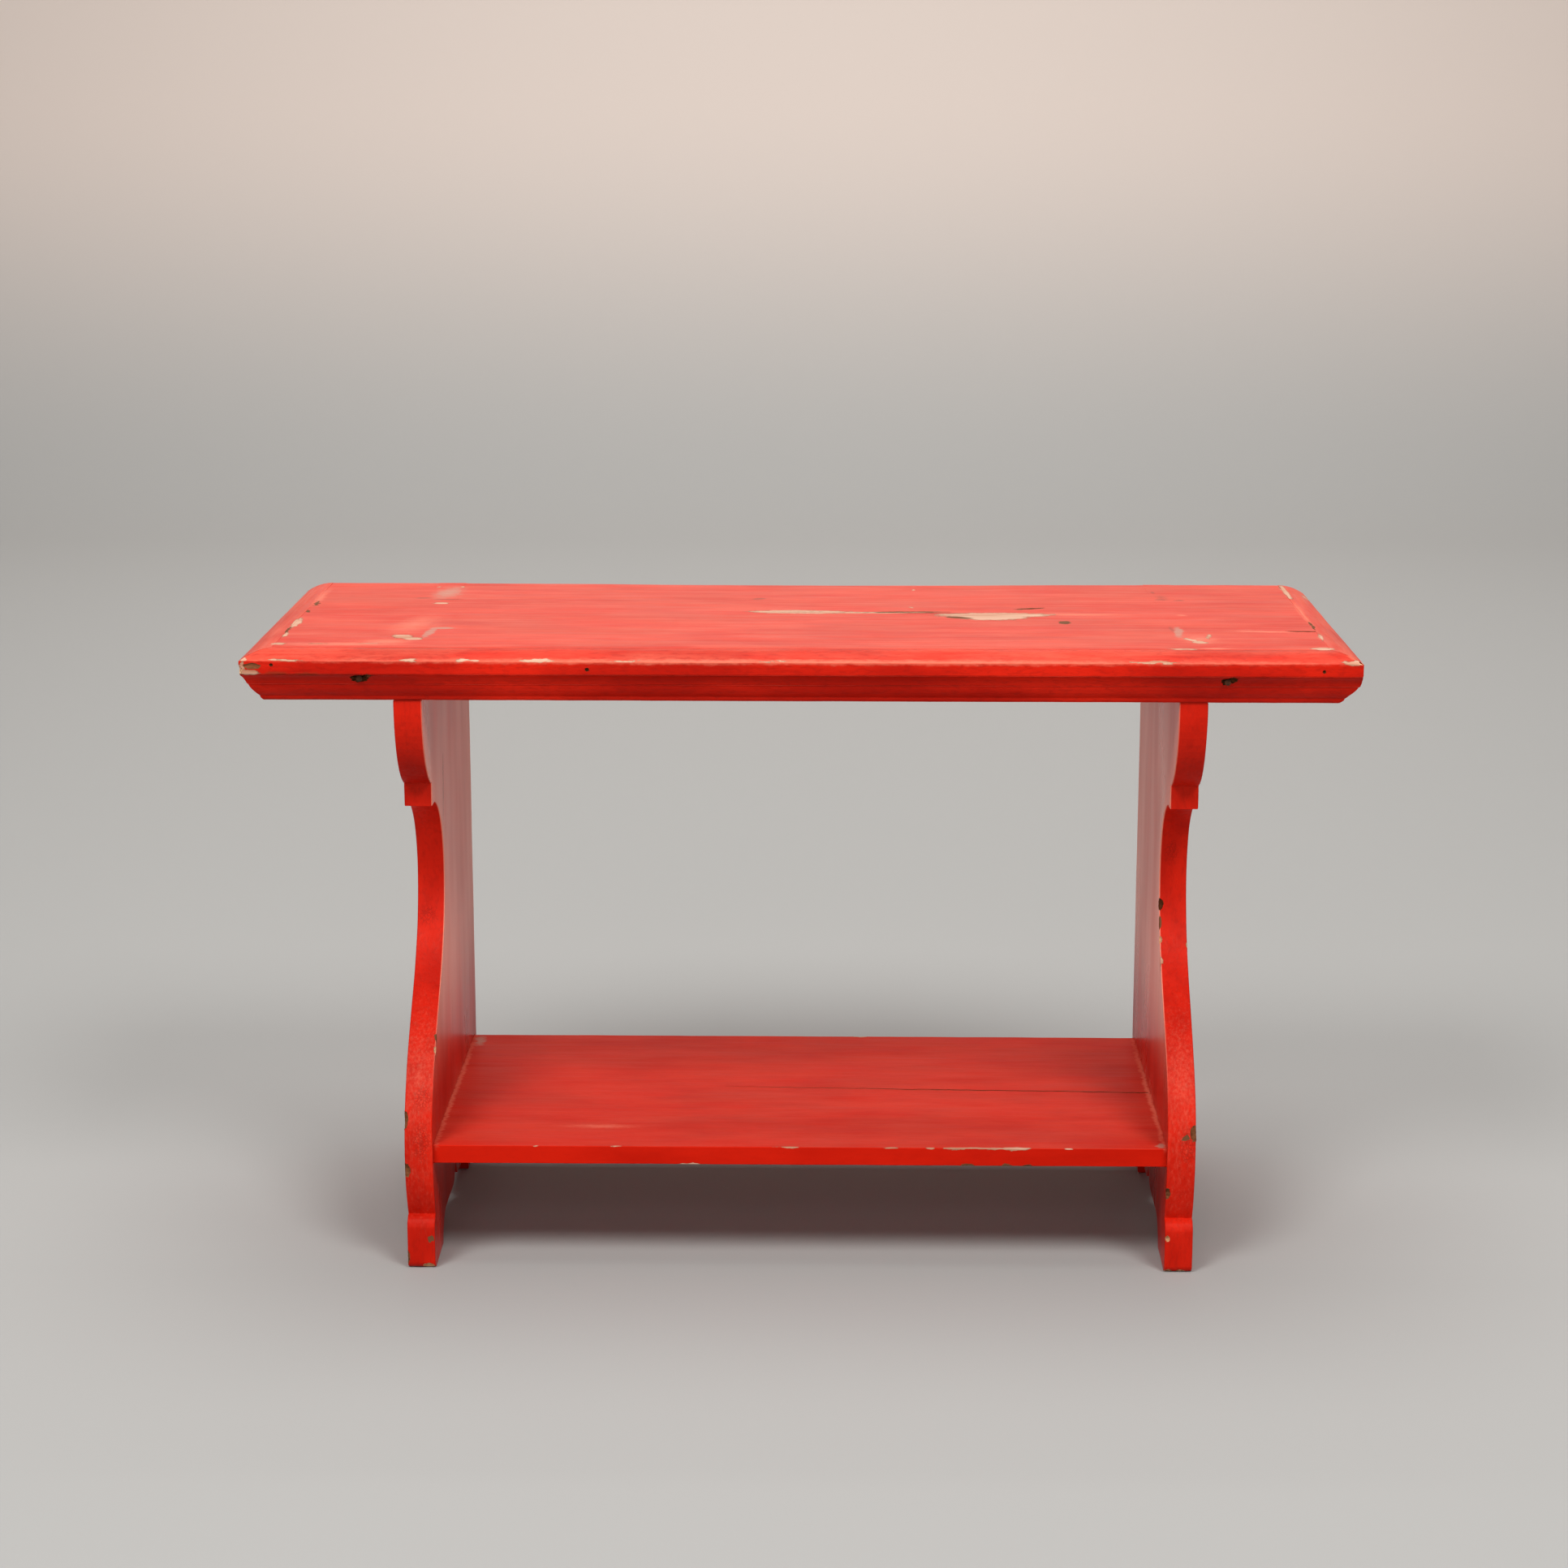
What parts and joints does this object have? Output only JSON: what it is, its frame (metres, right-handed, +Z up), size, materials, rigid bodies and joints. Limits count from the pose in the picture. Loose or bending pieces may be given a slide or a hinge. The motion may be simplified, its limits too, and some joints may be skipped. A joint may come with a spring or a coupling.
{
  "type": "bucket bench",
  "caption": "Low rustic bench with a moulded plank top, scroll-sawn end boards with through tenons and a shelf close to the floor.",
  "frame": {"origin": "on the floor, under the middle of the top's length and depth", "axes": "+X along the bench to the right as seen from the front, +Y from the moulded front to the plain back, +Z up"},
  "size_m": [0.888, 0.347, 0.523],
  "materials": {
    "red_painted_pine": "worn semi-gloss paint",
    "nail_steel": "rusted"
  },
  "bodies": {
    "root": {"top_board": "red_painted_pine", "front_moulding": "red_painted_pine", "left_end_moulding": "red_painted_pine", "right_end_moulding": "red_painted_pine", "left_end_board": "red_painted_pine", "right_end_board": "red_painted_pine", "shelf_board": "red_painted_pine", "front_moulding_nails": "nail_steel", "left_moulding_nails": "nail_steel", "right_moulding_nails": "nail_steel", "left_shelf_nails": "nail_steel", "right_shelf_nails": "nail_steel"}
  },
  "joints": []
}
